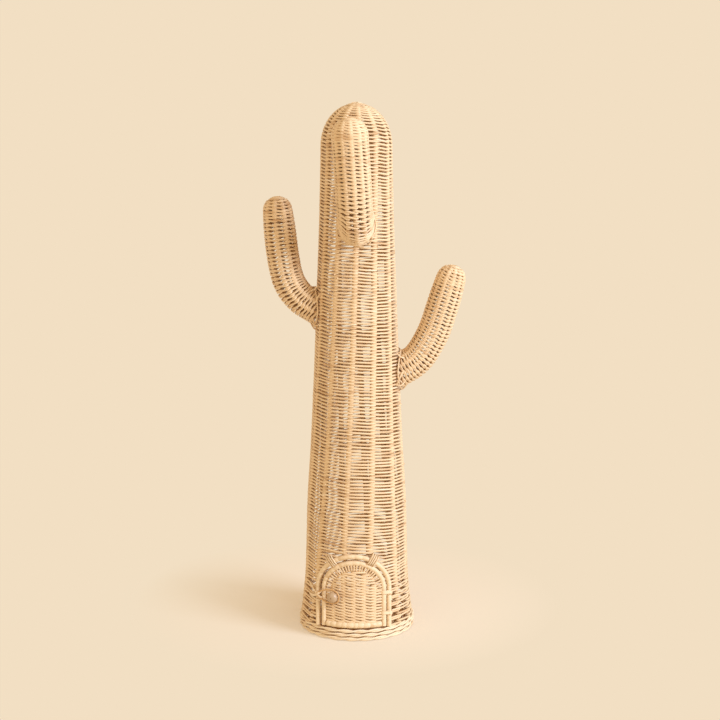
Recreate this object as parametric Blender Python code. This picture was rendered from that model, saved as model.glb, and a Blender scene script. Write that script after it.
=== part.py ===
"""Openwork rattan cactus with a latched door at its foot.

The trunk is a tapering woven tube with a domed top, carried on twelve stakes that meet under a
crown knot. Three closed-ended woven arms are lashed to it. An arched door hangs on two cane
lashings, and a cane loop on the left slips over its wooden bead. Metres, +Z up, -Y to the front.
The origin is on the trunk's axis, on the flat underside of the floor disc.
"""
import math

import bmesh
import bpy
from mathutils import Matrix, Vector

MM = 0.001
GAP = 0.3 * MM

# Trunk: outer radius at a few heights, a smooth curve between them, and a round dome on top.
TRUNK_PROFILE = (
    (-0.030, 0.0712),
    (0.014, 0.0658),
    (0.060, 0.0608),
    (0.105, 0.0591),
    (0.150, 0.0577),
    (0.215, 0.0535),
    (0.300, 0.0492),
    (0.400, 0.0452),
    (0.470, 0.0423),
    (0.557, 0.0404),
    (0.640, 0.0402),
)
DOME_BASE_Z = 0.554
DOME_RADIUS = 0.0404
DOME_HEIGHT = 0.0465
WALL = 2.0 * MM
TRUNK_SIDES = 40
SECTION_JOINTS = (0.1650, 0.3450, 0.5250)
CROWN_HOLE_RADIUS = 6.6 * MM

STAKE_COUNT = 12
STAKE_RADIUS = 1.6 * MM
STAKE_INSET = WALL + 0.5 * MM + STAKE_RADIUS
FIRST_STAKE_DEG = -18.0
TWIST_DEG_PER_M = 40.0
DOORWAY_PUSH_DEG = 9.0
DOORWAY_PUSH_TOP_Z = 0.16
STAKE_TOP_RADIUS = 8.6 * MM

# Foot: three stacked border strands round a flat woven floor.
BORDER_ROWS = 3
BORDER_RADIUS = 2.15 * MM
BORDER_RING_RADIUS = 64.8 * MM
BORDER_PITCH = 2 * BORDER_RADIUS + GAP
FOOT_TOP_Z = BORDER_ROWS * BORDER_PITCH
FLOOR_RADIUS = 62.2 * MM
FLOOR_THICKNESS = 2.4 * MM
SPOKE_COUNT = 12
SPOKE_HALF_WIDTH = 1.3 * MM

# Doorway: a round arch on straight sides, bent round the trunk.
# Each of its two rods: middle of the arch, half the span, and depth under the trunk's face.
FRAME_ROD_RADIUS = 2.75 * MM
RIM_ROD_RADIUS = 3.05 * MM
FRAME = {"x": -3.5 * MM, "spring_z": 57.0 * MM, "half": 40.4 * MM, "inset": 0.4 * MM}
RIM = {"x": -3.0 * MM, "spring_z": 56.0 * MM, "half": 33.7 * MM, "inset": 1.9 * MM}
DOOR_BOTTOM_Z = 15.0 * MM
BAR_RADIUS = 3.1 * MM
PANEL_INSET = 0.5 * MM
PANEL_THICKNESS = 2.0 * MM
DOOR_STAKE_OFFSETS = (-22 * MM, -11 * MM, 0.0, 11 * MM, 22 * MM)
DOOR_STAKE_RADIUS = 1.2 * MM
WRAP_THICKNESS = 0.9 * MM
ARCH_WRAPS = {"arch_wrap_left": (120.0, 134.0), "arch_wrap_right": (51.0, 65.0)}
HINGE_LASHINGS = {"hinge_lashing_lower": 30.0 * MM, "hinge_lashing_upper": 53.0 * MM}
LASHING_HEIGHT = 5.5 * MM
LASHING_SWING_ROOM = 1.1 * MM
LATCH_Z = 50.0 * MM
LATCH_LASHING_HEIGHT = 8.0 * MM

# Latch: a wooden bead on the door and a loop of cane that slips over it.
BEAD_FOOT_X = -25.3 * MM
BEAD_STAND_OFF = 5.8 * MM
BEAD_RADIUS = 6.2 * MM
BEAD_HALF_DEPTH = 4.3 * MM
BEAD_FACE_DEG = 78
TIE_RADIUS = 1.1 * MM
LOOP_STRAND_RADIUS = 0.9 * MM
LOOP_LENGTH = 29.0 * MM
LOOP_HALF_HEIGHT = 7.5 * MM
LOOP_EGG = 0.38
LOOP_POINTS = 28
LOOP_PIVOT_STAND_OFF = 5.6 * MM
LOOP_PIVOT_DEG = -17.0
LOOP_STAND_OFF = 2.9 * MM

# Arms: centre lines from inside the trunk to the middle of the round tip.
ARMS = {
    "left": {
        "radius": 18.6 * MM,
        "route": (
            (-0.030, 0, 0.362),
            (-0.048, 0, 0.373),
            (-0.064, 0, 0.384),
            (-0.0765, 0, 0.403),
            (-0.0830, 0, 0.434),
            (-0.0880, 0, 0.4815),
        ),
        "taper": 0.10,
        "ribs": 9,
        "first_rib_deg": 35,
    },
    "right": {
        "radius": 18.8 * MM,
        "route": (
            (0.030, 0, 0.291),
            (0.048, 0, 0.299),
            (0.0700, 0, 0.3145),
            (0.0865, 0, 0.342),
            (0.0965, 0, 0.371),
            (0.1064, 0, 0.4044),
        ),
        "taper": 0.10,
        "ribs": 12,
        "first_rib_deg": 20,
    },
    "front": {
        "radius": 19.6 * MM,
        "route": (
            (0, -0.030, 0.470),
            (0, -0.047, 0.4675),
            (-0.0005, -0.066, 0.470),
            (-0.0015, -0.0805, 0.483),
            (-0.0030, -0.0855, 0.508),
            (-0.0070, -0.0850, 0.5660),
        ),
        "taper": 0.0,
        "ribs": 12,
        "first_rib_deg": 28,
    },
}
ARM_TAPER_LENGTH = 32.0 * MM
ARM_WALL = 1.8 * MM
ARM_SIDES = 18
ARM_RIB_RADIUS = 1.2 * MM
ARM_TIP_HOLE_RADIUS = 3.4 * MM
ARM_HUB_RADIUS = 5.2 * MM
ARM_LASHING_RADIUS = 1.8 * MM
LASHING_POINTS = 26
ROUND_TIP_STEPS = 4

COLOURS = {
    "rattan_weave": ((0.80, 0.60, 0.36), 0.58),
    "rattan_stake": ((0.76, 0.55, 0.31), 0.55),
    "rattan_border": ((0.78, 0.58, 0.34), 0.56),
    "cane_wrap": ((0.84, 0.66, 0.41), 0.50),
    "floor_weave": ((0.72, 0.52, 0.30), 0.62),
    "bead_wood": ((0.50, 0.34, 0.23), 0.45),
    "latch_cord": ((0.70, 0.48, 0.24), 0.55),
}


# ---------------------------------------------------------------- curves and placing


def catmull_rom(a, b, c, d, t):
    """A smooth value between b and c, for numbers or vectors."""
    return 0.5 * (2 * b + (c - a) * t + (2 * a - 5 * b + 4 * c - d) * t**2 + (3 * b - a - 3 * c + d) * t**3)


def smooth_route(points, steps):
    """Evenly divided smooth curve through the points, with both ends kept."""
    knots = [Vector(p) for p in points]
    knots = [2 * knots[0] - knots[1]] + knots + [2 * knots[-1] - knots[-2]]
    route = []
    for i in range(1, len(knots) - 2):
        for step in range(steps):
            route.append(catmull_rom(*knots[i - 1:i + 3], step / steps))
    route.append(knots[-2])
    return route


def trunk_radius(z):
    """Outer radius of the trunk below its dome."""
    last = len(TRUNK_PROFILE) - 3
    i = 1
    while i < last and TRUNK_PROFILE[i + 1][0] < z:
        i += 1
    z0, z1 = TRUNK_PROFILE[i][0], TRUNK_PROFILE[i + 1][0]
    radii = [r for _, r in TRUNK_PROFILE[i - 1:i + 3]]
    return catmull_rom(*radii, (z - z0) / (z1 - z0))


def polar(angle_deg, radius, z):
    """Point at an angle counted from the front (-Y) towards +X."""
    angle = math.radians(angle_deg)
    return Vector((radius * math.sin(angle), -radius * math.cos(angle), z))


def on_trunk(x, z, offset):
    """Point on the trunk's front at this x and z, this far outside its outer face."""
    radius = trunk_radius(z) + offset
    return Vector((x, -math.sqrt(radius**2 - x**2), z))


def leg_point(arch, side, z):
    """Centre of an arch's upright at this height; side is 1 on the right and -1 on the left."""
    return on_trunk(arch["x"] + side * arch["half"], z, -arch["inset"])


def arc_points(arch, from_deg, to_deg, steps):
    """Round part of an arch, bent onto the trunk's face."""
    points = []
    for i in range(steps + 1):
        angle = math.radians(from_deg + (to_deg - from_deg) * i / steps)
        x = arch["x"] + arch["half"] * math.cos(angle)
        points.append(on_trunk(x, arch["spring_z"] + arch["half"] * math.sin(angle), -arch["inset"]))
    return points


def whole_arch(arch, bottom_z):
    """A half circle on two straight legs, from right to left."""
    heights = [bottom_z + (arch["spring_z"] - bottom_z) * i / 4 for i in range(4)]
    right = [leg_point(arch, 1, z) for z in heights]
    left = [leg_point(arch, -1, z) for z in reversed(heights)]
    return right + arc_points(arch, 0, 180, 18) + left


def frames_along(route, closed=False):
    """Tangent and two cross directions at each point, turned as little as possible."""
    count = len(route)
    frames = []
    side = None
    for i, point in enumerate(route):
        after = route[(i + 1) % count] if closed or i + 1 < count else point
        before = route[i - 1] if closed or i else point
        tangent = (after - before).normalized()
        if side is None:
            side = tangent.orthogonal()
        side = (side - tangent * side.dot(tangent)).normalized()
        frames.append((tangent, side, tangent.cross(side)))
    return frames


def circle(centre, side, up, radius, sides):
    """Points of a circle in the plane of side and up."""
    angles = [2 * math.pi * i / sides for i in range(sides)]
    return [centre + radius * (math.cos(a) * side + math.sin(a) * up) for a in angles]


# ---------------------------------------------------------------- meshes and objects


def skin(rings, closed):
    """Mesh through rings of equally many points: joined end to end, or capped at both ends."""
    mesh = bmesh.new()
    loops = [[mesh.verts.new(p) for p in ring] for ring in rings]
    pairs = list(zip(loops, loops[1:]))
    if closed:
        pairs.append((loops[-1], loops[0]))
    else:
        mesh.faces.new(loops[0])
        mesh.faces.new(loops[-1])
    for a, b in pairs:
        for i in range(len(a)):
            j = (i + 1) % len(a)
            mesh.faces.new((a[i], a[j], b[j], b[i]))
    bmesh.ops.recalc_face_normals(mesh, faces=mesh.faces)
    return mesh


def material(slot):
    """The slot's Principled material, made once."""
    found = bpy.data.materials.get(slot)
    if found:
        return found
    colour, roughness = COLOURS[slot]
    made = bpy.data.materials.new(slot)
    made.use_nodes = True
    shader = made.node_tree.nodes["Principled BSDF"]
    shader.inputs["Base Color"].default_value = (*colour, 1)
    shader.inputs["Roughness"].default_value = roughness
    shader.inputs["Metallic"].default_value = 0.0
    return made


def add(name, mesh, slot):
    """Object from a bmesh, shaded smooth, with its slot's material."""
    data = bpy.data.meshes.new(name)
    mesh.to_mesh(data)
    mesh.free()
    data.shade_smooth()
    data.set_sharp_from_angle(angle=math.radians(40))
    data.materials.append(material(slot))
    made = bpy.data.objects.new(name, data)
    bpy.context.collection.objects.link(made)
    return made


def as_cutter(name, mesh):
    """Hidden guide solid for a Boolean."""
    made = add(name, mesh, "cane_wrap")
    made.hide_render = True
    made.display_type = "WIRE"
    return made


def boolean(target, other, operation, self_cut=False):
    """Live Boolean of one object with another."""
    cut = target.modifiers.new(other.name, "BOOLEAN")
    cut.operation = operation
    cut.solver = "EXACT"
    cut.use_self = self_cut
    cut.object = other


def tube(route, radius, sides, closed=False):
    """Round rod along a route."""
    frames = frames_along(route, closed)
    rings = [circle(p, n, b, radius, sides) for p, (_, n, b) in zip(route, frames)]
    return skin(rings, closed)


def sleeve(route, inner, outer, sides):
    """Open-ended round sleeve along a route."""
    frames = frames_along(route)
    rings = [circle(p, n, b, outer, sides) for p, (_, n, b) in zip(route, frames)]
    rings += [circle(p, n, b, inner, sides) for p, (_, n, b) in reversed(list(zip(route, frames)))]
    return skin(rings, closed=True)


def turned(section, sides=TRUNK_SIDES):
    """Ring turned about the Z axis from a closed section of (radius, z) points."""
    rings = [[polar(360 * i / sides, r, z) for r, z in section] for i in range(sides)]
    return skin(rings, closed=True)


def turned_solid(outline, sides=TRUNK_SIDES):
    """Solid turned about the Z axis from (radius, z) points, capped at both ends."""
    rings = [[polar(360 * i / sides, r, z) for i in range(sides)] for r, z in outline]
    return skin(rings, closed=False)


# ---------------------------------------------------------------- trunk


def spread(first, last, count):
    """Evenly spaced numbers with both ends."""
    return [first + (last - first) * i / (count - 1) for i in range(count)]


def wall_section(bottom_z, top_z, rows):
    """Closed section of the trunk's wall between two heights."""
    heights = spread(bottom_z, top_z, rows)
    outer = [(trunk_radius(z), z) for z in heights]
    inner = [(trunk_radius(z) - WALL, z) for z in reversed(heights)]
    return outer + inner


def dome_arc(inset, end_radius, steps):
    """(radius, z) points of the dome at this depth, up to a hole of end_radius."""
    radius = DOME_RADIUS - inset
    height = DOME_HEIGHT - inset
    last = math.acos(end_radius / radius)
    angles = [last * (i + 1) / steps for i in range(steps)]
    return [(radius * math.cos(a), DOME_BASE_Z + height * math.sin(a)) for a in angles]


def make_trunk():
    joints = SECTION_JOINTS
    lower = add("trunk_weave_lower", turned(wall_section(FOOT_TOP_Z, joints[0], 7)), "rattan_weave")
    middle = wall_section(joints[0] + GAP, joints[1], 4)
    add("trunk_weave_middle", turned(middle), "rattan_weave")
    upper = wall_section(joints[1] + GAP, joints[2], 4)
    add("trunk_weave_upper", turned(upper), "rattan_weave")
    heights = spread(joints[2] + GAP, DOME_BASE_Z, 2)
    outer = [(trunk_radius(z), z) for z in heights] + dome_arc(0, CROWN_HOLE_RADIUS, 5)
    inner = [(trunk_radius(z) - WALL, z) for z in heights] + dome_arc(WALL, CROWN_HOLE_RADIUS, 5)
    add("trunk_weave_dome", turned(outer + inner[::-1]), "rattan_weave")
    return lower


def make_crown_knot():
    """Small plaited button that closes the crown's hole."""
    top = DOME_BASE_Z + DOME_HEIGHT
    radius = CROWN_HOLE_RADIUS - GAP
    rise = 0.7 * MM
    low, shoulder = top - 3.0 * MM, top - 1.0 * MM
    outline = [(radius, low), (radius, shoulder), (0.8 * radius, top), (0.3 * radius, top + rise)]
    add("crown_knot", turned_solid(outline, 16), "cane_wrap")


def stake_angle(first_deg, z):
    """A stake's angle at this height: a slight twist, and a step aside next to the doorway."""
    aside = 0.0
    if 35 < abs(first_deg) < 60:
        aside = math.copysign(DOORWAY_PUSH_DEG, first_deg) * max(0.0, 1 - z / DOORWAY_PUSH_TOP_Z)
    return first_deg + TWIST_DEG_PER_M * z + aside


def stake_route(first_deg, bottom_z):
    """Up the inside of the wall, then over the dome to the crown."""
    points = []
    for z in spread(bottom_z, DOME_BASE_Z, 13):
        points.append(polar(stake_angle(first_deg, z), trunk_radius(z) - STAKE_INSET, z))
    top_deg = first_deg + TWIST_DEG_PER_M * DOME_BASE_Z
    for radius, z in dome_arc(STAKE_INSET, STAKE_TOP_RADIUS, 5):
        points.append(polar(top_deg, radius, z))
    return points


def make_stakes():
    arch_top = FRAME["spring_z"] + FRAME["half"] + FRAME_ROD_RADIUS + 2 * MM
    for k in range(STAKE_COUNT):
        first = (FIRST_STAKE_DEG + 360 / STAKE_COUNT * k + 180) % 360 - 180
        in_doorway = abs(first) < 35
        bottom = arch_top if in_doorway else FOOT_TOP_Z + GAP
        route = stake_route(first, bottom)
        add(f"trunk_stake_{k + 1:02d}", tube(route, STAKE_RADIUS, 6), "rattan_stake")


def make_foot():
    for row in range(BORDER_ROWS):
        z = BORDER_RADIUS + row * BORDER_PITCH
        angles = [2 * math.pi * i / 6 + math.pi / 6 for i in range(6)]
        radii = [BORDER_RING_RADIUS + BORDER_RADIUS * math.cos(a) for a in angles]
        section = [(radius, z + BORDER_RADIUS * math.sin(a)) for radius, a in zip(radii, angles)]
        add(f"foot_border_{row + 1}", turned(section), "rattan_border")
    disc = turned_solid([(FLOOR_RADIUS, 0), (FLOOR_RADIUS, FLOOR_THICKNESS)])
    add("floor_disc", disc, "floor_weave")
    low = FLOOR_THICKNESS + GAP
    star = []
    root = SPOKE_HALF_WIDTH / math.sin(math.pi / SPOKE_COUNT)
    for k in range(SPOKE_COUNT):
        middle = 360 / SPOKE_COUNT * k
        end_half_deg = math.degrees(SPOKE_HALF_WIDTH / FLOOR_RADIUS)
        star.append(polar(middle - end_half_deg, FLOOR_RADIUS - 1 * MM, low))
        star.append(polar(middle + end_half_deg, FLOOR_RADIUS - 1 * MM, low))
        star.append(polar(middle + 180 / SPOKE_COUNT, root, low))
    top = [p + Vector((0, 0, 2 * SPOKE_HALF_WIDTH)) for p in star]
    add("floor_spokes", skin([star, top], closed=False), "rattan_stake")


# ---------------------------------------------------------------- doorway and door


def doorway_prism(low_z, depth_from, depth_to):
    """Arch-shaped prism along Y that the frame's rod just fills, for cutting."""
    half_width = FRAME["half"] + FRAME_ROD_RADIUS + GAP
    outline = [(FRAME["x"] + half_width, low_z)]
    for i in range(25):
        angle = math.pi * i / 24
        x = FRAME["x"] + half_width * math.cos(angle)
        outline.append((x, FRAME["spring_z"] + half_width * math.sin(angle)))
    outline.append((FRAME["x"] - half_width, low_z))
    rings = [[Vector((x, y, z)) for x, z in outline] for y in (depth_from, depth_to)]
    return skin(rings, closed=False)


def round_both_rods(radius, z, steps=9):
    """Outline at one height, round the frame's and the rim's uprights on the hinge side."""
    frame_rod, rim_rod = leg_point(FRAME, 1, z), leg_point(RIM, 1, z)
    along = math.atan2(rim_rod.y - frame_rod.y, rim_rod.x - frame_rod.x)
    points = []
    for centre, start in ((frame_rod, along + math.pi / 2), (rim_rod, along - math.pi / 2)):
        for i in range(steps + 1):
            angle = start + math.pi * i / steps
            points.append(centre + radius * Vector((math.cos(angle), math.sin(angle), 0)))
    return points


def make_doorway(weave):
    """Fixed frame of the doorway, and the opening it lines."""
    boolean(weave, as_cutter("doorway_cut", doorway_prism(5 * MM, -0.1, -0.02)), "DIFFERENCE")
    frame = tube(whole_arch(FRAME, FOOT_TOP_Z + GAP), FRAME_ROD_RADIUS, 8)
    add("door_frame", frame, "cane_wrap")
    inner = FRAME_ROD_RADIUS + GAP
    outer = inner + WRAP_THICKNESS
    for name, (from_deg, to_deg) in ARCH_WRAPS.items():
        route = arc_points(FRAME, from_deg, to_deg, 3)
        add(name, sleeve(route, inner, outer, 10), "cane_wrap")
        room = arc_points(FRAME, from_deg - 1, to_deg + 1, 3)
        boolean(weave, as_cutter(f"{name}_room", tube(room, outer + GAP, 10)), "DIFFERENCE")
    low, high = LATCH_Z - LATCH_LASHING_HEIGHT / 2, LATCH_Z + LATCH_LASHING_HEIGHT / 2
    route = [leg_point(FRAME, -1, z) for z in spread(low, high, 3)]
    # the lashing stays a little thinner than the arch wraps, to pass between rod and stake
    add("latch_lashing", sleeve(route, inner, outer - 0.1 * MM, 10), "cane_wrap")
    route = [leg_point(FRAME, -1, z) for z in spread(low - GAP, high + GAP, 3)]
    boolean(weave, as_cutter("latch_room", tube(route, outer + GAP, 10)), "DIFFERENCE")


def door_panel():
    """Woven panel inside the door's rim, bent with the trunk."""
    half_width = RIM["half"] - RIM_ROD_RADIUS - GAP
    low = DOOR_BOTTOM_Z + 2 * BAR_RADIUS + GAP
    columns = []
    for u in spread(-1, 1, 17):
        x = RIM["x"] + half_width * math.sin(u * math.pi / 2)
        top = RIM["spring_z"] + half_width * math.cos(u * math.pi / 2)
        heights = spread(low, top, 7)
        front = [on_trunk(x, z, -PANEL_INSET) for z in heights]
        back = [on_trunk(x, z, -PANEL_INSET - PANEL_THICKNESS) for z in reversed(heights)]
        columns.append(front + back)
    return skin(columns, closed=False)


def hinge_pieces(weave, panel):
    """Two cane lashings round the door's rim and the frame, and the room they turn in."""
    inner = max(FRAME_ROD_RADIUS, RIM_ROD_RADIUS) + GAP
    outer = inner + WRAP_THICKNESS
    pieces = []
    for name, z in HINGE_LASHINGS.items():
        low, high = z - LASHING_HEIGHT / 2, z + LASHING_HEIGHT / 2
        around = [round_both_rods(outer, low), round_both_rods(outer, high)]
        within = [round_both_rods(inner, high), round_both_rods(inner, low)]
        pieces.append(add(name, skin(around + within, closed=True), "cane_wrap"))
        ends = (low - LASHING_SWING_ROOM, high + LASHING_SWING_ROOM)
        room = [round_both_rods(outer + 2 * GAP, end) for end in ends]
        cutter = as_cutter(f"{name}_room", skin(room, closed=False))
        boolean(weave, cutter, "DIFFERENCE")
        boolean(panel, cutter, "DIFFERENCE")
    return pieces


def latch_bead():
    """Turned wooden bead on a short cane tie."""
    foot = on_trunk(BEAD_FOOT_X, LATCH_Z, -PANEL_INSET)
    out = Vector((foot.x, foot.y, 0)).normalized()
    up = Vector((0, 0, 1))
    side = up.cross(out)
    centre = foot + out * BEAD_STAND_OFF
    rings = []
    for angle in spread(-BEAD_FACE_DEG, BEAD_FACE_DEG, 9):
        depth = BEAD_HALF_DEPTH * math.sin(math.radians(angle)) / math.sin(math.radians(BEAD_FACE_DEG))
        radius = BEAD_RADIUS * math.cos(math.radians(angle))
        rings.append(circle(centre + out * depth, side, up, radius, 16))
    bead = add("bead", skin(rings, closed=False), "bead_wood")
    ends = (foot + out * GAP, centre - out * (BEAD_HALF_DEPTH + GAP))
    tie = add("bead_tie", tube([ends[0], (ends[0] + ends[1]) / 2, ends[1]], TIE_RADIUS, 6), "latch_cord")
    return [bead, tie]


def make_door(weave):
    """All that swings with the door, on an empty that stands on the hinge's axis."""
    rim = add("door_rim", tube(whole_arch(RIM, DOOR_BOTTOM_Z), RIM_ROD_RADIUS, 8), "cane_wrap")
    bar_half = RIM["half"] - RIM_ROD_RADIUS - GAP
    bar_z = DOOR_BOTTOM_Z + BAR_RADIUS
    bar_route = [on_trunk(RIM["x"] + x, bar_z, -RIM["inset"]) for x in spread(-bar_half, bar_half, 11)]
    bar = add("door_bottom_bar", tube(bar_route, BAR_RADIUS, 8), "cane_wrap")
    panel = add("door_weave", door_panel(), "rattan_weave")
    pieces = [rim, bar, panel] + hinge_pieces(weave, panel) + latch_bead()
    half_width = RIM["half"] - RIM_ROD_RADIUS - 2 * MM
    inset = PANEL_INSET + PANEL_THICKNESS + GAP + DOOR_STAKE_RADIUS
    for i, offset in enumerate(DOOR_STAKE_OFFSETS):
        top = RIM["spring_z"] + math.sqrt(half_width**2 - offset**2) - 1 * MM
        heights = spread(DOOR_BOTTOM_Z + 2 * BAR_RADIUS + GAP, top, 5)
        route = [on_trunk(RIM["x"] + offset, z, -inset) for z in heights]
        pieces.append(add(f"door_stake_{i + 1}", tube(route, DOOR_STAKE_RADIUS, 6), "rattan_stake"))
    hinge = leg_point(FRAME, 1, HINGE_LASHINGS["hinge_lashing_lower"])
    hang_on("door_hinge", hinge, pieces)


def make_latch_loop():
    """Egg-shaped loop of cane, hung at its left end, lying round the bead's tie."""
    pivot = leg_point(FRAME, -1, LATCH_Z) + polar(LOOP_PIVOT_DEG, LOOP_PIVOT_STAND_OFF, 0)
    foot = on_trunk(BEAD_FOOT_X, LATCH_Z, -PANEL_INSET)
    neck = foot + Vector((foot.x, foot.y, 0)).normalized() * LOOP_STAND_OFF
    along = (neck - pivot).normalized()
    up = Vector((0, 0, 1))
    route = []
    for i in range(LOOP_POINTS):
        turn = 2 * math.pi * i / LOOP_POINTS
        reach = LOOP_LENGTH * (1 - math.cos(turn)) / 2
        height = LOOP_HALF_HEIGHT * math.sin(turn) * (1 - LOOP_EGG * math.cos(turn))
        route.append(pivot + along * reach + up * height)
    loop = add("latch_loop", tube(route, LOOP_STRAND_RADIUS, 6, closed=True), "latch_cord")
    hang_on("latch_pivot", pivot, [loop])


def hang_on(name, place, pieces):
    """Parent the pieces to an empty on their joint's axis, without moving them."""
    empty = bpy.data.objects.new(name, None)
    empty.location = place
    empty.empty_display_size = 0.02
    bpy.context.collection.objects.link(empty)
    for piece in pieces:
        piece.parent = empty
        piece.matrix_parent_inverse = Matrix.Translation(place).inverted()


# ---------------------------------------------------------------- arms


def arm_rings(arm, inset, end_radius):
    """(centre, side, up, radius) along an arm, and over its round tip to a hole of end_radius."""
    route = smooth_route(arm["route"], 2)
    frames = frames_along(route)
    rings = []
    for p, (_, n, b) in zip(route, frames):
        narrowing = max(0.0, 1 - (route[-1] - p).length / ARM_TAPER_LENGTH) ** 2
        radius = arm["radius"] * (1 - arm["taper"] * narrowing) - inset
        rings.append((p, n, b, radius))
    tangent, side, up = frames[-1]
    last = math.acos(end_radius / radius)
    for i in range(ROUND_TIP_STEPS):
        angle = last * (i + 1) / ROUND_TIP_STEPS
        centre = route[-1] + tangent * radius * math.sin(angle)
        rings.append((centre, side, up, radius * math.cos(angle)))
    return rings


def arm_cage(name, arm):
    """The arm's ribs, joined under the tip."""
    inset = ARM_WALL + 0.4 * MM + ARM_RIB_RADIUS
    rings = arm_rings(arm, inset, ARM_HUB_RADIUS - 0.6 * MM)
    cage = bmesh.new()
    for k in range(arm["ribs"]):
        angle = math.radians(arm["first_rib_deg"] + 360 * k / arm["ribs"])
        route = [c + r * (math.cos(angle) * n + math.sin(angle) * b) for c, n, b, r in rings]
        rib = tube(route, ARM_RIB_RADIUS, 3)
        data = bpy.data.meshes.new("rib")
        rib.to_mesh(data)
        rib.free()
        cage.from_mesh(data)
        bpy.data.meshes.remove(data)
    cage_object = add(name, cage, "rattan_stake")
    centre, side, up, _ = rings[-1]
    tangent = side.cross(up)
    thickness = [-1.1 * ARM_RIB_RADIUS, 0.9 * ARM_RIB_RADIUS]
    hub = skin([circle(centre + tangent * t, side, up, ARM_HUB_RADIUS, 16) for t in thickness], closed=False)
    boolean(cage_object, as_cutter(f"{name}_hub", hub), "UNION", self_cut=True)
    return cage_object


def arm_lashing_route(arm):
    """Where a strand lies in the corner between the arm and the trunk."""
    stand_off = 0.4 * MM + ARM_LASHING_RADIUS
    route = smooth_route(arm["route"], 12)
    frames = frames_along(route)
    points = []
    for i in range(LASHING_POINTS):
        angle = 2 * math.pi * i / LASHING_POINTS
        line = []
        for p, (_, n, b) in zip(route, frames):
            line.append(p + (arm["radius"] + stand_off) * (math.cos(angle) * n + math.sin(angle) * b))
        clear = [math.hypot(p.x, p.y) - trunk_radius(p.z) - stand_off for p in line]
        j = next(j for j in range(1, len(line)) if clear[j] > 0)
        t = -clear[j - 1] / (clear[j] - clear[j - 1])
        points.append(line[j - 1].lerp(line[j], t))
    return points


def make_arms():
    outline = [(trunk_radius(z) + GAP, z) for z in spread(0.20, DOME_BASE_Z, 14)]
    trunk_cut = as_cutter("trunk_cut", turned_solid(outline))
    for side_name, arm in ARMS.items():
        outer = arm_rings(arm, 0, ARM_TIP_HOLE_RADIUS)
        inner = arm_rings(arm, ARM_WALL, ARM_TIP_HOLE_RADIUS)
        rings = [circle(*ring, ARM_SIDES) for ring in outer + inner[::-1]]
        weave = add(f"{side_name}_arm_weave", skin(rings, closed=True), "rattan_weave")
        cage = arm_cage(f"{side_name}_arm_ribs", arm)
        for piece in (weave, cage):
            boolean(piece, trunk_cut, "DIFFERENCE")
        ring = tube(arm_lashing_route(arm), ARM_LASHING_RADIUS, 6, closed=True)
        add(f"{side_name}_arm_lashing", ring, "cane_wrap")


def build():
    for old in list(bpy.data.objects):
        bpy.data.objects.remove(old, do_unlink=True)
    lower_weave = make_trunk()
    make_crown_knot()
    make_stakes()
    make_foot()
    make_doorway(lower_weave)
    make_door(lower_weave)
    make_latch_loop()
    make_arms()


build()
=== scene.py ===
"""Openwork rattan cactus with a latched door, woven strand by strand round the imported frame."""
import math

import bpy
import numpy as np
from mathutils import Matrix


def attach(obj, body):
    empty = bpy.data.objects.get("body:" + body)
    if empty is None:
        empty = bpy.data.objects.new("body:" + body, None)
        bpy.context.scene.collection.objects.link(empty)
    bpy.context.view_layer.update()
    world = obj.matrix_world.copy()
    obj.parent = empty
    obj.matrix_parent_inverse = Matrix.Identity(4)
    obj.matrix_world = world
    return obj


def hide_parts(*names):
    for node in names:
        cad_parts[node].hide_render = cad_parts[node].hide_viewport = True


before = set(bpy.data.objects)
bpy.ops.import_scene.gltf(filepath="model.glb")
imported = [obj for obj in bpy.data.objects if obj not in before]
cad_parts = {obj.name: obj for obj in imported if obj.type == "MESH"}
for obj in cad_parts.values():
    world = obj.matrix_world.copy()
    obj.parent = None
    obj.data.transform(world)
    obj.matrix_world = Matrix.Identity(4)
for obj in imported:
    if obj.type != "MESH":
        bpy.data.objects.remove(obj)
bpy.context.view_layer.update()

MM = 0.001
rng = np.random.default_rng(41)

# ---------------- the part's own measures
TRUNK_PROFILE = (
    (-0.030, 0.0712), (0.014, 0.0658), (0.060, 0.0608), (0.105, 0.0591), (0.150, 0.0577), (0.215, 0.0535),
    (0.300, 0.0492), (0.400, 0.0452), (0.470, 0.0423), (0.557, 0.0404), (0.640, 0.0402),
)
DOME_BASE_Z = 0.554
DOME_RADIUS = 0.0404
DOME_HEIGHT = 0.0465
STAKE_COUNT = 12
STAKE_RADIUS = 1.6 * MM
STAKE_INSET = 4.1 * MM
FIRST_STAKE_DEG = -18.0
TWIST_DEG_PER_M = 40.0
DOORWAY_PUSH_DEG = 9.0
DOORWAY_PUSH_TOP_Z = 0.16
BORDER_ROWS = 3
BORDER_RADIUS = 2.15 * MM
BORDER_RING_RADIUS = 64.8 * MM
BORDER_PITCH = 4.6 * MM
FOOT_TOP_Z = BORDER_ROWS * BORDER_PITCH
FLOOR_RADIUS = 62.2 * MM
FLOOR_ROD_COUNT = 6
FRAME_ROD_RADIUS = 2.75 * MM
RIM_ROD_RADIUS = 3.05 * MM
FRAME = {"x": -3.5 * MM, "spring_z": 57.0 * MM, "half": 40.4 * MM, "inset": 0.4 * MM}
RIM = {"x": -3.0 * MM, "spring_z": 56.0 * MM, "half": 33.7 * MM, "inset": 1.9 * MM}
DOOR_BOTTOM_Z = 15.0 * MM
BAR_RADIUS = 3.1 * MM
PANEL_INSET = 0.5 * MM
DOOR_STAKES = (-22 * MM, -11 * MM, 0.0, 11 * MM, 22 * MM)
DOOR_STAKE_RADIUS = 1.2 * MM
DOOR_STAKE_INSET = 4.0 * MM
DOOR_SPOKES = 29
ARCH_WRAPS = {"arch_wrap_left": 127.0, "arch_wrap_right": 58.0}
ARCH_WRAP_STRANDS = 4
HALF_TURN_POINTS = 10
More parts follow.
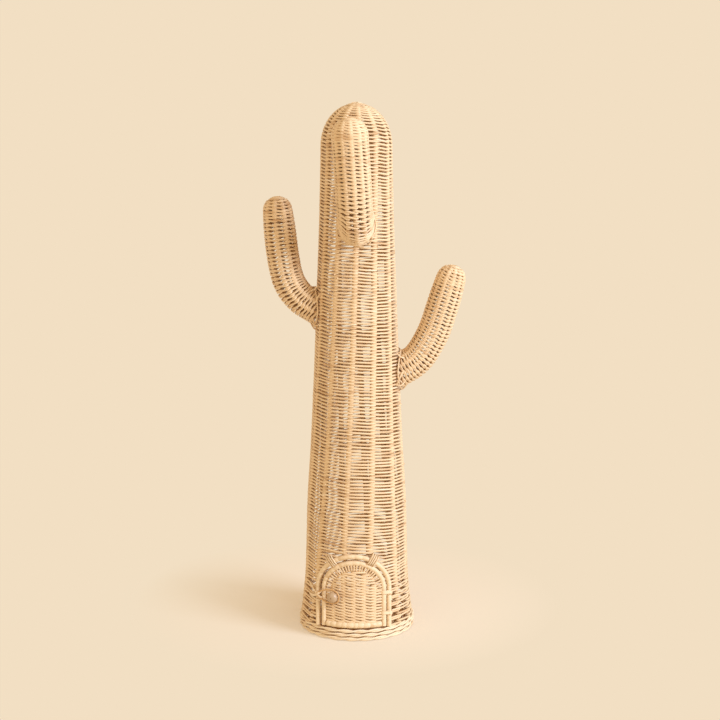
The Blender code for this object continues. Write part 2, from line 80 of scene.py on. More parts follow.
HINGE_LASHINGS = {"hinge_lashing_lower": 30.0 * MM, "hinge_lashing_upper": 53.0 * MM}
LATCH_Z = 50.0 * MM
BEAD_FOOT_X = -25.3 * MM
BEAD_STAND_OFF = 5.8 * MM
BEAD_RADIUS = 6.2 * MM
BEAD_HALF_DEPTH = 4.3 * MM
LOOP_STRAND_RADIUS = 0.9 * MM
LOOP_LENGTH = 29.0 * MM
LOOP_HALF_HEIGHT = 7.5 * MM
LOOP_EGG = 0.38
LOOP_PIVOT_STAND_OFF = 5.6 * MM
LOOP_PIVOT_DEG = -17.0
LOOP_STAND_OFF = 2.9 * MM
ARMS = {
    "left": {
        "radius": 18.6 * MM,
        "route": (
            (-0.030, 0, 0.362), (-0.048, 0, 0.373), (-0.064, 0, 0.384),
            (-0.0765, 0, 0.403), (-0.0830, 0, 0.434), (-0.0880, 0, 0.4815),
        ),
        "taper": 0.10,
        "ribs": 9,
        "phase": 0.14,
    },
    "right": {
        "radius": 18.8 * MM,
        "route": (
            (0.030, 0, 0.291), (0.048, 0, 0.299), (0.0700, 0, 0.3145),
            (0.0865, 0, 0.342), (0.0965, 0, 0.371), (0.1064, 0, 0.4044),
        ),
        "taper": 0.10,
        "ribs": 12,
        "phase": 0.1,
    },
    "front": {
        "radius": 19.6 * MM,
        "route": (
            (0, -0.030, 0.470), (0, -0.047, 0.4675), (-0.0005, -0.066, 0.470),
            (-0.0015, -0.0805, 0.483), (-0.0030, -0.0855, 0.508), (-0.0070, -0.0850, 0.5660),
        ),
        "taper": 0.0,
        "ribs": 12,
        "phase": 0.13,
    },
}
ARM_TAPER_LENGTH = 32.0 * MM
ARM_RIB_INSET = 3.4 * MM
ARM_RIB_RADIUS = 1.2 * MM

# ---------------- the weave
STRAND = 1.18 * MM
ROW_PITCH = 3.85 * MM
DOME_ROW_PITCH = 3.75 * MM
ARM_STRAND = {"left": 1.16 * MM, "right": 1.18 * MM, "front": 1.26 * MM}
ARM_PITCH = {"left": 4.15 * MM, "right": 4.15 * MM, "front": 3.75 * MM}
DOOR_STRAND = 1.3 * MM
DOOR_PITCH = 3.25 * MM
ARM_SAG = 0.3 * MM
ARM_ROW_MARGIN = 1.2 * MM
CORNER_STAND_OFF = 1.5 * MM
JOINT_PLACES = 26
# the place that each stitch leaves from, how many places on it ends, and how many millimetres it stands off
JOINT_STITCHES = (
    (0, 2, 1.2), (3, -1, 2.1), (5, 3, 1.5), (9, 1, 1.0), (11, -2, 2.0),
    (14, 2, 1.2), (17, 1, 1.6), (19, 3, 1.1), (23, -1, 1.9),
)
FLOOR_STRAND = 1.05 * MM
FLOOR_LEVEL = 3.2 * MM
UP = (0, 0, 1.0)


def catmull_rom(a, b, c, d, t):
    return 0.5 * (2 * b + (c - a) * t + (2 * a - 5 * b + 4 * c - d) * t**2 + (3 * b - a - 3 * c + d) * t**3)


def smooth(points, steps):
    """Smooth curve through the points, with both ends kept."""
    knots = np.array(points, float)
    knots = np.vstack([2 * knots[0] - knots[1], knots, 2 * knots[-1] - knots[-2]])
    t = (np.arange(steps) / steps)[:, None]
    pieces = [catmull_rom(*knots[i - 1:i + 3], t) for i in range(1, len(knots) - 2)]
    return np.vstack(pieces + [knots[-2:-1]])


def profile_radius(z):
    last = len(TRUNK_PROFILE) - 3
    i = 1
    while i < last and TRUNK_PROFILE[i + 1][0] < z:
        i += 1
    z0, z1 = TRUNK_PROFILE[i][0], TRUNK_PROFILE[i + 1][0]
    return catmull_rom(*[r for _, r in TRUNK_PROFILE[i - 1:i + 3]], (z - z0) / (z1 - z0))


TABLE_Z = np.linspace(0.0, 0.62, 621)
TABLE_R = np.array([profile_radius(z) for z in TABLE_Z])


def trunk_radius(z):
    """Outer radius of the trunk, dome included."""
    z = np.asarray(z, float)
    dome = DOME_RADIUS * np.sqrt(np.clip(1 - ((z - DOME_BASE_Z) / DOME_HEIGHT) ** 2, 0, None))
    return np.where(z > DOME_BASE_Z, dome, np.interp(z, TABLE_Z, TABLE_R))


def polar(angle_deg, radius, z):
    """Point at an angle counted from the front (-Y) towards +X."""
    a = np.radians(angle_deg)
    return np.stack(np.broadcast_arrays(radius * np.sin(a), -radius * np.cos(a), z), -1)


def on_trunk(x, z, offset=0.0):
    """Point on the trunk's front at this x and z, this far outside its outer face."""
    x, z, offset = np.broadcast_arrays(np.asarray(x, float), z, offset)
    radius = trunk_radius(z) + offset
    return np.stack([x, -np.sqrt(radius**2 - x**2), z], -1)


def unit(v):
    return v / np.linalg.norm(v, axis=-1, keepdims=True)


def transported(route):
    """Tangent and a side direction at each point, turned as little as possible."""
    tangents = unit(np.gradient(route, axis=0))
    side = np.cross(tangents[0], UP)
    if np.linalg.norm(side) < 0.1:
        side = np.array((1.0, 0, 0))
    sides = []
    for t in tangents:
        side = side - t * np.dot(side, t)
        side = side / np.linalg.norm(side)
        sides.append(side)
    return tangents, np.array(sides)


# ---------------- strands into meshes


class Strands:
    """Many swept strands gathered into one mesh, each with its own run of fibre coordinates."""

    def __init__(self):
        self.verts, self.fibre, self.quads, self.caps = [], [], [], []
        self.count = 0
        self.run = float(rng.uniform(0, 40))

    def sweep(self, path, along, across, thick=None, sides=6):
        """Sweep a section: across is half its width, in the direction along, and thick half its thickness."""
        path = np.asarray(path, float)
        n = len(path)
        tangent = unit(np.gradient(path, axis=0))
        ref = np.broadcast_to(np.asarray(along, float), path.shape)
        side = unit(ref - tangent * (ref * tangent).sum(1, keepdims=True))
        up = np.cross(tangent, side)
        a = np.broadcast_to(np.asarray(across, float), (n,))[:, None]
        b = a if thick is None else np.broadcast_to(np.asarray(thick, float), (n,))[:, None]
        phi = 2 * np.pi * np.arange(sides) / sides
        c, s = np.cos(phi)[None], np.sin(phi)[None]
        ring = path[:, None] + (a * c)[..., None] * side[:, None] + (b * s)[..., None] * up[:, None]
        length = np.concatenate([[0], np.cumsum(np.linalg.norm(np.diff(path, axis=0), axis=1))])
        self.run += 0.37 + float(rng.uniform(0, 0.5))
        here = np.stack([np.broadcast_to(self.run + length[:, None], (n, sides)), a * c, b * s], -1)
        self.run += length[-1]
        self.add(ring, here)

    def add(self, ring, here):
        """Rings of points (n, sides, 3), with fibre coordinates, joined into a tube with closed ends."""
        n, sides = ring.shape[:2]
        index = self.count + np.arange(n * sides).reshape(n, sides)
        beside = np.roll(index, -1, 1)
        self.caps.append(index[0][::-1])
        self.caps.append(index[-1])
        self.quads.append(np.stack([index[:-1], beside[:-1], beside[1:], index[1:]], -1).reshape(-1, 4))
        self.verts.append(ring.reshape(-1, 3))
        self.fibre.append(here.reshape(-1, 3))
        self.count += n * sides

    def object(self, name, slot, mat, body="root", replaces=()):
        """One object from all the strands, with their fibre coordinates as a point attribute."""
        verts, fibre = np.vstack(self.verts), np.vstack(self.fibre)
        quads = np.vstack(self.quads)
        loops = np.concatenate([quads.ravel()] + [np.asarray(c) for c in self.caps])
        totals = np.concatenate([np.full(len(quads), 4), [len(c) for c in self.caps]]).astype(int)
        starts = np.concatenate([[0], np.cumsum(totals)[:-1]])
        mesh = bpy.data.meshes.new(name)
        mesh.vertices.add(len(verts))
        mesh.vertices.foreach_set("co", verts.ravel())
        mesh.loops.add(len(loops))
        mesh.loops.foreach_set("vertex_index", loops.astype(np.int32))
        mesh.polygons.add(len(totals))
        mesh.polygons.foreach_set("loop_start", starts.astype(np.int32))
        mesh.polygons.foreach_set("loop_total", totals.astype(np.int32))
        mesh.update(calc_edges=True)
        mesh.validate()
        mesh.shade_smooth()
        mesh.set_sharp_from_angle(angle=math.radians(70))
        attribute = mesh.attributes.new("fibre", "FLOAT_VECTOR", "POINT")
        attribute.data.foreach_set("vector", fibre.ravel())
        return place(name, mesh, mat, body, replaces)


def place(name, mesh, mat, body, replaces):
    """Object on its body, with its material and the CAD nodes it stands for."""
    mesh.materials.clear()
    mesh.materials.append(mat)
    made = bpy.data.objects.new(name, mesh)
    bpy.context.scene.collection.objects.link(made)
    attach(made, body)
    if replaces:
        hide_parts(*replaces)
    return made


# ---------------- materials


# noise cells per metre: (along, across, across) a strand, or (across, across, along) an upright rod
STRAND_GRAIN = {
    "tone": (11, 0, 0),
    "fibres": (45, 2600, 2600),
    "node": (21, 30, 30),
    "pores": (420, 1700, 1700),
}
ROD_GRAIN = {
    "tone": (40, 40, 9),
    "fibres": (2600, 2600, 45),
    "node": (60, 60, 21),
    "pores": (1700, 1700, 420),
}


def graph(name):
    """New material with its nodes, its links and its shader."""
    mat = bpy.data.materials.new(name)
    mat.use_nodes = True
    nodes, links = mat.node_tree.nodes, mat.node_tree.links
    return mat, nodes, links, nodes["Principled BSDF"]


def add_node(nodes, kind, inputs):
    made = nodes.new(kind)
    for name, value in inputs.items():
        made.inputs[name].default_value = value
    return made


def ramp(nodes, links, fac, stops):
    made = nodes.new("ShaderNodeValToRGB")
    elements = made.color_ramp.elements
    while len(elements) < len(stops):
        elements.new(0.5)
    for element, (position, colour) in zip(elements, stops):
        element.position = position
        element.color = (*colour, 1)
    links.new(fac, made.inputs["Fac"])
    return made.outputs["Color"]


def add_bump(nodes, links, shader, height, strength, distance):
    bump = add_node(nodes, "ShaderNodeBump", {"Strength": strength, "Distance": distance})
    links.new(height, bump.inputs["Height"])
    links.new(bump.outputs[0], shader.inputs["Normal"])


def mix_shaders(nodes, links, amount, first, second, surface):
    blend = nodes.new("ShaderNodeMixShader")
    for source, socket in zip((amount, first, second), blend.inputs):
        links.new(source, socket)
    links.new(blend.outputs[0], surface)


def rattan(name, tones, roughness, grain=1.0, source="fibre", speck=0.5):
    """Peeled rattan: tone that drifts along each strand, long fibres, darker nodes and fine pores."""
    mat, nodes, links, shader = graph(name)
    if source == "fibre":
        coords = nodes.new("ShaderNodeAttribute")
        coords.attribute_name = "fibre"
        vector = coords.outputs["Vector"]
        grain_scale = STRAND_GRAIN
    else:
        coords = nodes.new("ShaderNodeTexCoord")
        vector = coords.outputs["Object"]
        grain_scale = ROD_GRAIN

    def noise(kind, detail):
        mapping = add_node(nodes, "ShaderNodeMapping", {"Scale": grain_scale[kind]})
        links.new(vector, mapping.inputs["Vector"])
        tex = add_node(nodes, "ShaderNodeTexNoise", {"Scale": 1.0, "Detail": detail})
        links.new(mapping.outputs[0], tex.inputs["Vector"])
        return tex.outputs["Fac"]

    def multiply(amount, base, fac, stops):
        made = nodes.new("ShaderNodeMix")
        made.data_type = "RGBA"
        made.blend_type = "MULTIPLY"
        made.inputs["Factor"].default_value = amount
        for source, name in ((base, "A"), (ramp(nodes, links, fac, stops), "B")):
            links.new(source, next(i for i in made.inputs if i.name == name and i.type == "RGBA"))
        return next(o for o in made.outputs if o.type == "RGBA")

    dark, mid, light = tones
    plain = (1, 1, 1)
    fibres = noise("fibres", 3.0)
    colour = ramp(nodes, links, noise("tone", 3.0), [(0.30, dark), (0.47, mid), (0.60, mid), (0.72, light)])
    colour = multiply(0.75 * grain, colour, fibres, [(0.30, (0.80, 0.76, 0.70)), (0.55, plain)])
    node_band = [(0.64, plain), (0.70, (0.78, 0.66, 0.52)), (0.74, plain)]
    colour = multiply(0.7, colour, noise("node", 1.0), node_band)
    colour = multiply(speck, colour, noise("pores", 1.0), [(0.20, (0.62, 0.50, 0.36)), (0.32, plain)])
    links.new(colour, shader.inputs["Base Color"])
    spread = add_node(nodes, "ShaderNodeMapRange", {"To Min": roughness - 0.12, "To Max": roughness + 0.12})
    links.new(fibres, spread.inputs["Value"])
    links.new(spread.outputs[0], shader.inputs["Roughness"])
    add_bump(nodes, links, shader, fibres, 0.45 * grain, 0.15 * MM)
    shader.inputs["Specular IOR Level"].default_value = 0.35
    return mat


# (dark, middle, light) tones
WEAVE_TONES = ((0.60, 0.36, 0.165), (0.81, 0.585, 0.335), (0.90, 0.75, 0.55))
ARM_TONES = ((0.60, 0.36, 0.165), (0.80, 0.575, 0.33), (0.90, 0.745, 0.54))
BORDER_TONES = ((0.73, 0.50, 0.275), (0.86, 0.68, 0.44), (0.92, 0.79, 0.58))
ROD_TONES = ((0.55, 0.32, 0.13), (0.74, 0.48, 0.22), (0.84, 0.62, 0.34))
CANE_TONES = ((0.70, 0.47, 0.24), (0.82, 0.62, 0.38), (0.89, 0.74, 0.52))
FLOOR_TONES = ((0.50, 0.29, 0.12), (0.66, 0.42, 0.20), (0.76, 0.54, 0.29))
LATCH_TONES = ((0.48, 0.26, 0.09), (0.66, 0.39, 0.16), (0.76, 0.50, 0.24))

WEAVE = rattan("rattan_weave_strands", WEAVE_TONES, 0.50)
ARM_WEAVE = rattan("rattan_arm_strands", ARM_TONES, 0.50)
BORDER = rattan("rattan_border_strands", BORDER_TONES, 0.50)
STAKE = rattan("rattan_stake_rods", ROD_TONES, 0.55, source="object")
RIBS = rattan("rattan_arm_rods", ROD_TONES, 0.55)
CANE = rattan("split_cane", CANE_TONES, 0.42, grain=0.8, speck=0.3)
FLOOR = rattan("rattan_floor_strands", FLOOR_TONES, 0.6)
CORD = rattan("latch_cane", LATCH_TONES, 0.5)
TIE = rattan("tie_cane", LATCH_TONES, 0.5, source="object")


def bead_wood():
    mat, nodes, links, shader = graph("turned_bead_wood")
    coords = nodes.new("ShaderNodeTexCoord")
    mapping = add_node(nodes, "ShaderNodeMapping", {"Scale": (700, 120, 110), "Rotation": (0.3, 0.25, 0.5)})
    links.new(coords.outputs["Object"], mapping.inputs["Vector"])
    rings = add_node(nodes, "ShaderNodeTexWave", {"Scale": 0.6, "Distortion": 5.0, "Detail": 3.0})
    links.new(mapping.outputs[0], rings.inputs["Vector"])
    grain = rings.outputs["Fac"]
    colour = ramp(nodes, links, grain, [(0, (0.40, 0.25, 0.13)), (1, (0.58, 0.40, 0.225))])
    links.new(colour, shader.inputs["Base Color"])
    add_bump(nodes, links, shader, grain, 0.25, 0.1 * MM)
    shader.inputs["Roughness"].default_value = 0.36
    shader.inputs["Coat Weight"].default_value = 0.25
    shader.inputs["Coat Roughness"].default_value = 0.3
    return mat


BEAD_WOOD = bead_wood()

# ---------------- a cage of ribs to weave on


class Cage:
    """A round shape by distance along its ribs: ring centre, directions, rib radius and slope."""

    def __init__(self, centres, tangents, sides, radii):
        ups = np.cross(tangents, sides)
        step = np.diff(centres, axis=0)
        forward = (step * tangents[:-1]).sum(1)
        outward = np.diff(radii)
        length = np.hypot(forward, outward)
        self.s = np.concatenate([[0], np.cumsum(length)])
        middle = (self.s[1:] + self.s[:-1]) / 2
        mt = np.interp(self.s, middle, forward / length)
        mr = np.interp(self.s, middle, outward / length)
        slope = np.stack([radii, mt / np.hypot(mt, mr), mr / np.hypot(mt, mr)], -1)
        self.table = np.hstack([centres, tangents, sides, ups, slope])
        self.end = self.s[-1]

    def at(self, s):
        """Centre, tangent, side and up, then rib radius and the rib's slope along and outwards."""
        s = np.asarray(s, float)
        values = np.stack([np.interp(s, self.s, column) for column in self.table.T], -1)
        directions = [values[..., i:i + 3] for i in (0, 3, 6, 9)]
        return (*directions, *[values[..., i:i + 1] for i in (12, 13, 14)])

    def radius(self, s):
        return float(self.at(s)[4][0])

    def height(self, s):
        return float(self.at(s)[0][2])

    def point(self, s, angle, out, across=0.0):
        """Points beside a rib at this angle, with the direction along the rib at each."""
        s, angle, out, across = np.broadcast_arrays(np.asarray(s, float), angle, out, across)
        centre, tangent, side, up, radius, mt, mr = self.at(s)
        cos, sin = np.cos(angle)[..., None], np.sin(angle)[..., None]
        radial = cos * side + sin * up
        around = -sin * side + cos * up
        normal = mt * radial - mr * tangent
        rib = mt * tangent + mr * radial
        return centre + radius * radial + out[..., None] * normal + across[..., None] * around, rib


WRAP = np.linspace(0, 2 * np.pi, 9)
BETWEEN = np.array((0.16, 0.5, 0.84))


def wrapped_row(ribs, levels, wrap_radius, rise, sag, start=None, end=None):
    """Angle, distance out, across and up for one strand that goes once round every rib.

    A full row starts and ends behind its first rib. start and end are (angle, out) runs for an open row.
    """
    stores = ([], [], [], [])

    def put(*values):
        for store, value in zip(stores, np.broadcast_arrays(*values)):
            store.append(np.atleast_1d(value))

    if start is None:
        ribs = np.append(ribs, ribs[0] + 2 * np.pi)
        levels = np.append(levels, levels[0])
    else:
        put(start[0], start[1], 0.0, levels[0] - rise / 2)
    for k, (rib, level) in enumerate(zip(ribs, levels)):
        turn = WRAP
        if start is None and k == 0:
            turn = WRAP[4:]
        elif start is None and k == len(ribs) - 1:
            turn = WRAP[:5]
        climb = rise * (turn / (2 * np.pi) - 0.5)
        put(rib, wrap_radius * np.cos(turn), wrap_radius * np.sin(turn), level + climb)
        if k + 1 < len(ribs):
            t = BETWEEN
            bow = 4 * t * (1 - t)
            drift = rng.normal(0, 0.16 * MM)
            put(
                rib + (ribs[k + 1] - rib) * t,
                wrap_radius - sag * bow,
                0.0,
                level + rise / 2 + (levels[k + 1] - level - rise) * t + drift * bow,
            )
    if start is not None:
        put(end[0], end[1], 0.0, levels[-1] + rise / 2)
    return [np.concatenate(store) for store in stores]


def turned_row(ribs, levels, wrap_radius, rise, sag):
    """Full row that starts behind a rib picked at random."""
    turn = int(rng.integers(len(ribs)))
    ribs = np.concatenate([ribs[turn:], ribs[:turn] + 2 * np.pi])
    return wrapped_row(ribs, np.roll(levels, -turn), wrap_radius, rise, sag)


def drifts(count, length, size, knots):
    """Slow height errors per rib along the shape, so that rows of neighbouring panels fall out of step."""
    errors = rng.normal(0, size, (knots, count))
    at = np.linspace(0, length, knots)
    return lambda s: np.array([np.interp(s, at, errors[:, k]) for k in range(count)])


# ---------------- trunk


def trunk_cage():
    """The stakes' cage: up the trunk, then over the dome to a small hole at its top."""
    heights = np.linspace(FOOT_TOP_Z - 2 * MM, DOME_BASE_Z, 260)
    over = np.linspace(0, math.acos(4.0 * MM / (DOME_RADIUS - STAKE_INSET)), 60)[1:]
    z = np.concatenate([heights, DOME_BASE_Z + (DOME_HEIGHT - STAKE_INSET) * np.sin(over)])
    radii = np.concatenate([trunk_radius(heights) - STAKE_INSET, (DOME_RADIUS - STAKE_INSET) * np.cos(over)])
    centres = np.stack([0 * z, 0 * z, z], -1)
    cage = Cage(centres, np.tile((0.0, 0, 1), (len(z), 1)), np.tile((0.0, -1, 0), (len(z), 1)), radii)
    cage.dome = float(cage.s[len(heights) - 1])
    return cage


TRUNK = trunk_cage()


def stake_first():
    """All stakes' angles in degrees at the foot, before the two beside the door step aside."""
    return (FIRST_STAKE_DEG + 30.0 * np.arange(STAKE_COUNT) + 180) % 360 - 180


def stake_angles(z):
    """All stakes' angles in degrees at this height."""
    first = stake_first()
    aside = np.where((abs(first) > 35) & (abs(first) < 60), np.sign(first) * DOORWAY_PUSH_DEG, 0.0)
    return first + TWIST_DEG_PER_M * min(z, DOME_BASE_Z) + aside * max(0.0, 1 - z / DOORWAY_PUSH_TOP_Z)


def doorway_reach(z):
    """Angles in degrees of the frame's right and left uprights or arch at this height, or None above it."""
    rise = max(0.0, z - FRAME["spring_z"])
    if rise > FRAME["half"] + 1.6 * MM:
        return None
    half = math.sqrt(max(FRAME["half"] ** 2 - rise**2, (4 * MM) ** 2))
    radius = float(trunk_radius(z))
    return [math.degrees(math.asin((FRAME["x"] + side * half) / radius)) for side in (1, -1)]


# piece and the height that it reaches; those with a CAD node's name stand for that node
BANDS = (
    ("trunk_weave_foot", 0.0900), ("trunk_weave_lower", 0.1650), ("trunk_weave_waist", 0.2550),
    ("trunk_weave_middle", 0.3450), ("trunk_weave_upper", 0.4350), ("trunk_weave_shoulder", 0.5250),
    ("trunk_weave_dome", 0.5750), ("trunk_weave_crown", 1.0),
)
TRUNK_SAG = 0.5 * MM
STRAY_END_COUNT = 26


def band_at(z):
    return next(name for name, top in BANDS if z < top)


def row_places():
    """Distances along the stakes of every row, a little uneven."""
    s = TRUNK.s[0] + 3.2 * MM
    places = []
    while s < TRUNK.end:
        if TRUNK.radius(s) < 9.0 * MM:
            break
        places.append(s)
        fade = np.clip((s - TRUNK.dome + 0.03) / 0.03, 0, 1)
        pitch = ROW_PITCH + (DOME_ROW_PITCH - ROW_PITCH) * fade
        pitch *= 1 + 0.05 * math.sin(s * 61) + 0.04 * math.sin(s * 149 + 1)
        low = np.clip((0.058 - s) / 0.02, 0, 1)
        pitch *= 1 + low * (0.36 if len(places) % 2 else -0.30)
        s += pitch * (1 + rng.normal(0, 0.02))
    return places


def doorway_row(angles, levels, use, reach, z, wrap, rise):
    """Open row from the frame's right side round the back to its left, with both ends tucked in."""
    right, left = reach[0], 360 + reach[1]
    full = angles % 360
    clear = math.degrees((FRAME_ROD_RADIUS + wrap + 0.4 * MM) / float(trunk_radius(z)))
    use = use & (full > right + clear) & (full < left - clear)
    order = np.argsort(full[use])
    tuck = np.array((0.0, 1.6, 3.4))
    start = (np.radians(right + tuck), np.array((0.1, 1.3, 2.4)) * MM)
    end = (np.radians(left - tuck[::-1]), np.array((2.4, 1.3, 0.1)) * MM)
    return wrapped_row(np.radians(full[use])[order], levels[use][order], wrap, rise, TRUNK_SAG, start, end)


def trunk_row(z, levels, wrap, rise):
    """One row of the trunk: round the doorway, or right round above it."""
    angles = stake_angles(z)
    in_front = abs(stake_first()) < 35
    reach = doorway_reach(z)
    if reach is not None:
        return doorway_row(angles, levels, ~in_front, reach, z, wrap, rise)
    above_arch = z > FRAME["spring_z"] + FRAME["half"] + 2 * MM
    use = np.ones(STAKE_COUNT, bool) if above_arch else ~in_front
    order = np.argsort(angles[use] % 360)
    return turned_row(np.radians(angles[use] % 360)[order], levels[use][order], wrap, rise, TRUNK_SAG)


def make_trunk():
    offset = drifts(STAKE_COUNT, TRUNK.end, 0.75 * MM, 12)
    bundles = {name: Strands() for name, _ in BANDS}
    places = row_places()
    wrap = STAKE_RADIUS + STRAND
    for i, s in enumerate(places):
        z = TRUNK.height(s)
        pitch = (places[i + 1] - s) if i + 1 < len(places) else s - places[i - 1]
        levels = offset(s) * np.clip((s - 0.004) / 0.02, 0, 1) + rng.normal(0, 0.10 * MM, STAKE_COUNT)
        thickness = STRAND * (1 + rng.normal(0, 0.035))
        thickness *= np.clip(TRUNK.radius(s) / (14 * MM), 0.8, 1) * (0.93 if z < 60 * MM else 1)
        angle, out, across, up = trunk_row(z, levels, wrap, 0.5 * pitch)
        path, along = TRUNK.point(s + up, angle, out, across)
        bundles[band_at(z)].sweep(path, along, thickness)
    cap_rows(bundles["trunk_weave_crown"], places[-1], wrap)
    stray_ends(bundles, places)
    for name, _ in BANDS:
        stands_for = (name,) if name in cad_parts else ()
        bundles[name].object(name, "rattan_weave", WEAVE, "root", stands_for)


def cap_rows(bundle, last, wrap):
    """Close plain rounds over the crown, above the last wrapped row."""
    s = last + 2.8 * MM
    top = math.radians(FIRST_STAKE_DEG + TWIST_DEG_PER_M * DOME_BASE_Z)
    phase = 0
    while TRUNK.radius(s) > 5.6 * MM and s < TRUNK.end:
        angle = np.linspace(0, 2 * np.pi, 73)[:-1]
        out = wrap + 0.1 * MM + 0.4 * MM * np.cos(STAKE_COUNT * (angle - top)) * (1 if phase % 2 else 0.4)
        path, along = TRUNK.point(s + 0.15 * MM * np.sin(3 * angle + phase), angle, out)
        bundle.sweep(np.vstack([path, path[:1]]), np.vstack([along, along[:1]]), 0.95 * MM)
        s += 2.1 * MM
        phase += 1


def stray_ends(bundles, places):
    """A few cut strand ends that stand off the weave."""
    for _ in range(STRAY_END_COUNT):
        s = places[int(rng.integers(8, len(places) - 16))]
        z = TRUNK.height(s)
        k = int(rng.integers(STAKE_COUNT))
        angle = math.radians(stake_angles(z)[k]) + rng.normal(0, 0.02)
        lean = rng.uniform(-1, 1)
        out = np.array((0.2, 1.8, 2.9, 3.6 + rng.uniform(0, 1.0))) * MM
        across = np.array((0, 0.3, 0.9, 1.5 + rng.uniform(0, 1.2))) * MM * np.sign(lean)
        path, along = TRUNK.point(s + 0.9 * MM + np.array((0, 0.1, 0.2, 0.3)) * MM * lean, angle, out, across)
        bundles[band_at(z)].sweep(path, along, 0.8 * MM)


def make_crown():
    """A plaited button in the crown: a coil that runs in to the middle."""
    coil = Strands()
    top = DOME_BASE_Z + DOME_HEIGHT
    turns = np.linspace(0, 3.1 * 2 * np.pi, 110)
    radius = 5.4 * MM * (1 - turns / turns[-1]) + 0.35 * MM
    height = top - 1.3 * MM + 0.55 * MM * (1 - (radius / (5.6 * MM)) ** 2)
    path = np.stack([radius * np.sin(turns), -radius * np.cos(turns), height], -1)
    coil.sweep(path, UP, 0.95 * MM, sides=7)
    for k in range(4):
        a = math.pi * k / 2 + 0.4
        start = np.array((math.sin(a), -math.cos(a), 0))
        across = [start * 7.6 * MM, start * 4.6 * MM, start * 1.6 * MM, start * 0.4 * MM]
        rise = [-2.0, -0.4, 0.1, -1.0]
        path = np.array([p + np.array((0, 0, top + r * MM)) for p, r in zip(across, rise)])
        coil.sweep(smooth(path, 4), np.cross(start, UP), 0.8 * MM)
    coil.object("crown_button", "cane_wrap", CANE, "root", ["crown_knot"])


# ---------------- foot


def make_borders():
    """Three stacked rings, each of two strands twisted round each other."""
    angle = np.linspace(0, 2 * np.pi, 181)
    reach = 0.98 * MM
    for row in range(BORDER_ROWS):
        pair = Strands()
        z = BORDER_RADIUS + row * BORDER_PITCH
        for strand in range(2):
            twist = 11 * angle + math.pi * strand + 2.1 * row + 0.25 * np.sin(5 * angle)
            radius = BORDER_RING_RADIUS + reach * np.cos(twist)
            path = polar(np.degrees(angle), radius, z + reach * np.sin(twist))
            pair.sweep(path, UP, 1.16 * MM, sides=8)
        number = row + 1
        pair.object(f"foot_border_twist_{number}", "rattan_border", BORDER, "root", [f"foot_border_{number}"])


def make_floor():
    """Rounds that pass over and under the floor's rods, about a coil in the middle."""
    rounds = Strands()
    radius = 8.0 * MM
    side = -1
    while radius < FLOOR_RADIUS - 1.2 * MM:
        angle = np.linspace(0, 2 * np.pi, 49 if radius < 25 * MM else 97)
        z = FLOOR_LEVEL + side * 2.1 * MM * np.cos(FLOOR_ROD_COUNT * angle)
        rounds.sweep(polar(np.degrees(angle), radius, z), UP, FLOOR_STRAND, sides=5)
        radius += 2.15 * MM
        side = -side
    turns = np.linspace(0, 2.6 * 2 * np.pi, 80)
    inner = 6.4 * MM * (1 - turns / turns[-1]) + 0.4 * MM
    rounds.sweep(polar(np.degrees(turns), inner, 1.15 * MM), UP, FLOOR_STRAND)
    rounds.object("floor_woven_rounds", "floor_weave", FLOOR, "root", ["floor_disc"])


def make_floor_rods():
    rods = Strands()
    out = np.linspace(-61.0 * MM, 61.0 * MM, 9)
    for k in range(FLOOR_ROD_COUNT):
        turn = math.pi * k / FLOOR_ROD_COUNT
        lift = FLOOR_LEVEL + (k - 2.5) * 0.12 * MM
        path = np.stack([out * math.sin(turn), -out * math.cos(turn), 0 * out + lift], -1)
        rods.sweep(path, UP, FLOOR_STRAND, sides=8)
    rods.object("floor_rods", "rattan_stake", RIBS, "root", ["floor_spokes"])


# ---------------- arms


def arm_cage(arm):
    route = smooth(arm["route"], 12)
    tangents, sides = transported(route)
    to_go = np.linalg.norm(route[-1] - route, axis=1)
    narrowing = np.clip(1 - to_go / ARM_TAPER_LENGTH, 0, 1) ** 2
    radii = arm["radius"] * (1 - arm["taper"] * narrowing) - ARM_RIB_INSET
    radius = radii[-1]
    angles = np.linspace(0, math.acos(3.0 * MM / radius), 26)[1:]
    centres = np.vstack([route, route[-1] + np.outer(radius * np.sin(angles), tangents[-1])])
    radii = np.concatenate([radii, radius * np.cos(angles)])
    tangents = np.vstack([tangents, np.tile(tangents[-1], (len(angles), 1))])
    sides = np.vstack([sides, np.tile(sides[-1], (len(angles), 1))])
    cage = Cage(centres, tangents, sides, radii)
    cage.tip = float(cage.s[len(route) - 1])
    return cage


def beyond_trunk(points, margin):
    """How far each point is outside the trunk and this margin, level with it."""
    return np.hypot(points[:, 0], points[:, 1]) - trunk_radius(points[:, 2]) - margin


def outside_run(path, along, margin):
    """The longest stretch of a round that lies outside the trunk."""
    clear = beyond_trunk(path, margin) > 0
    if clear.all():
        return path, along
    n = len(path)
    first = int(np.argmin(clear))
    order = (np.arange(n) + first) % n
    best, run = [], []
    for i in order:
        if clear[i]:
            run.append(i)
            best = run if len(run) > len(best) else best
        else:
            run = []
    if len(best) < 8:
        return None
    best = [(best[0] - 1) % n] + list(best) + [(best[-1] + 1) % n]
    return path[best], along[best]


